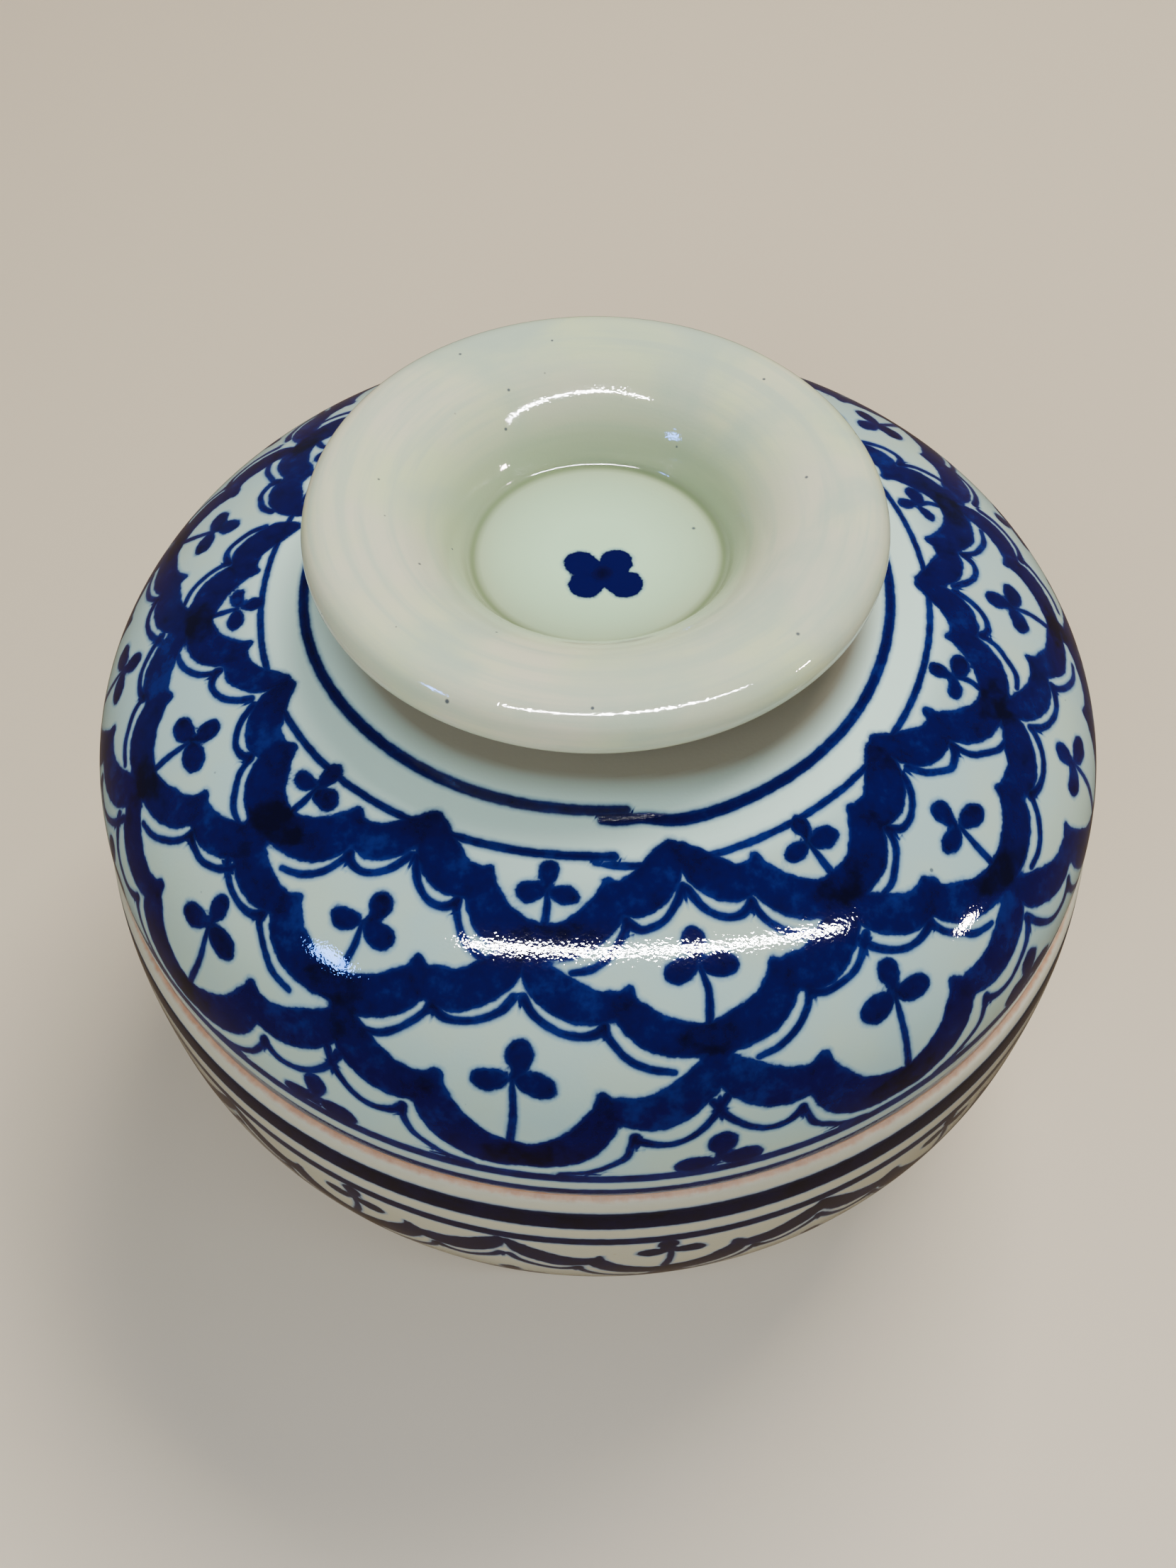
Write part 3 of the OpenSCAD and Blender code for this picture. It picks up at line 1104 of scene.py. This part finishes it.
def studio():
    """A pale floor that curves up into a wall, soft light from behind and in front, and small
    lamps that the glaze mirrors: a long strip overhead, a spot on the right, a window on the
    left."""
    room()
    flat_r = 1500
    bend = 900
    wall_top = 2600
    curve = arc(flat_r, bend, bend, -90, 0, 16)
    sheet = np.concatenate([[[0, 0], [600, 0], [flat_r, 0]], curve[1:], [[flat_r + bend, wall_top]]])
    floor, _, _ = turned("floor", sheet, 96)
    floor.visible_glossy = False
    n = Nodes("floor")
    n.finish((*FLOOR_BEIGE, 1.0), 0.6, n.bump(n.noise(2.0, 3.0), 0.1, 0.2))
    floor.data.materials.append(n.material)

    lamp("soft_back", (0.45, 0.70, 1.55), 0.9, 0.5, 42.0, (1.0, 0.97, 0.92), mirrored=False)
    lamp("soft_front", (-0.35, -1.30, 1.25), 1.2, 1.0, 25.0, (0.80, 0.92, 1.0), mirrored=False)
    lamp("strip", (0.355, -0.595, 1.75), 1.90, 0.05, 200.0, (1.0, 0.99, 0.97), lights=False)
    lamp("right_spot", (1.10, -0.33, 0.43), 0.07, 0.06, 9.0, (1.0, 0.84, 0.76), lights=False)
    lamp("left_window", (-0.82, -0.53, 0.80), 0.13, 0.10, 5.0, (0.10, 0.30, 1.0), lights=False)


def lamp(name, place, width, height, power, colour, lights=True, mirrored=True):
    """A rectangle of light whose width lies level and whose face looks at the bowl, or, if
    it is long, only leans towards it so that it stays level along X. It lights surfaces, or
    shows as a highlight on the glaze, or both."""
    light = bpy.data.lights.new(name, "AREA")
    light.shape = "RECTANGLE"
    light.size = width
    light.size_y = height
    light.energy = power
    light.color = colour
    ob = bpy.data.objects.new(name, light)
    ob.location = place
    long = width > 1.5
    bowl = Vector((place[0] if long else 0.0, 0.0, 0.13))
    ob.rotation_euler = (bowl - Vector(place)).to_track_quat("-Z", "Y").to_euler()
    ob.visible_diffuse = lights
    ob.visible_glossy = mirrored
    bpy.context.scene.collection.objects.link(ob)


def camera():
    """Stands in front of the bowl, above it, and looks down at 54 degrees. The angles and
    the place were fitted to the photograph."""
    place = (0, -0.1940, 0.3517)
    aside = 0.67
    down = 54.40
    tipped = -0.20
    data = bpy.data.cameras.new("camera")
    data.sensor_fit = "HORIZONTAL"
    data.sensor_width = 36.0
    data.lens = 41.23
    ob = bpy.data.objects.new("camera", data)
    turn = Matrix.Rotation(math.radians(aside), 4, "Z")
    tilt = Matrix.Rotation(math.radians(90 - down), 4, "X")
    roll = Matrix.Rotation(math.radians(tipped), 4, "Z")
    ob.matrix_world = Matrix.Translation(place) @ turn @ tilt @ roll
    bpy.context.scene.collection.objects.link(ob)
    bpy.context.scene.camera = ob


painted = painted_glaze()
celadon = celadon_glaze()
clay = bare_clay()
lid_dome(painted)
bowl_body(painted)
lid_knob(celadon)
lid_flange(clay)
foot_ring(clay)
studio()
camera()
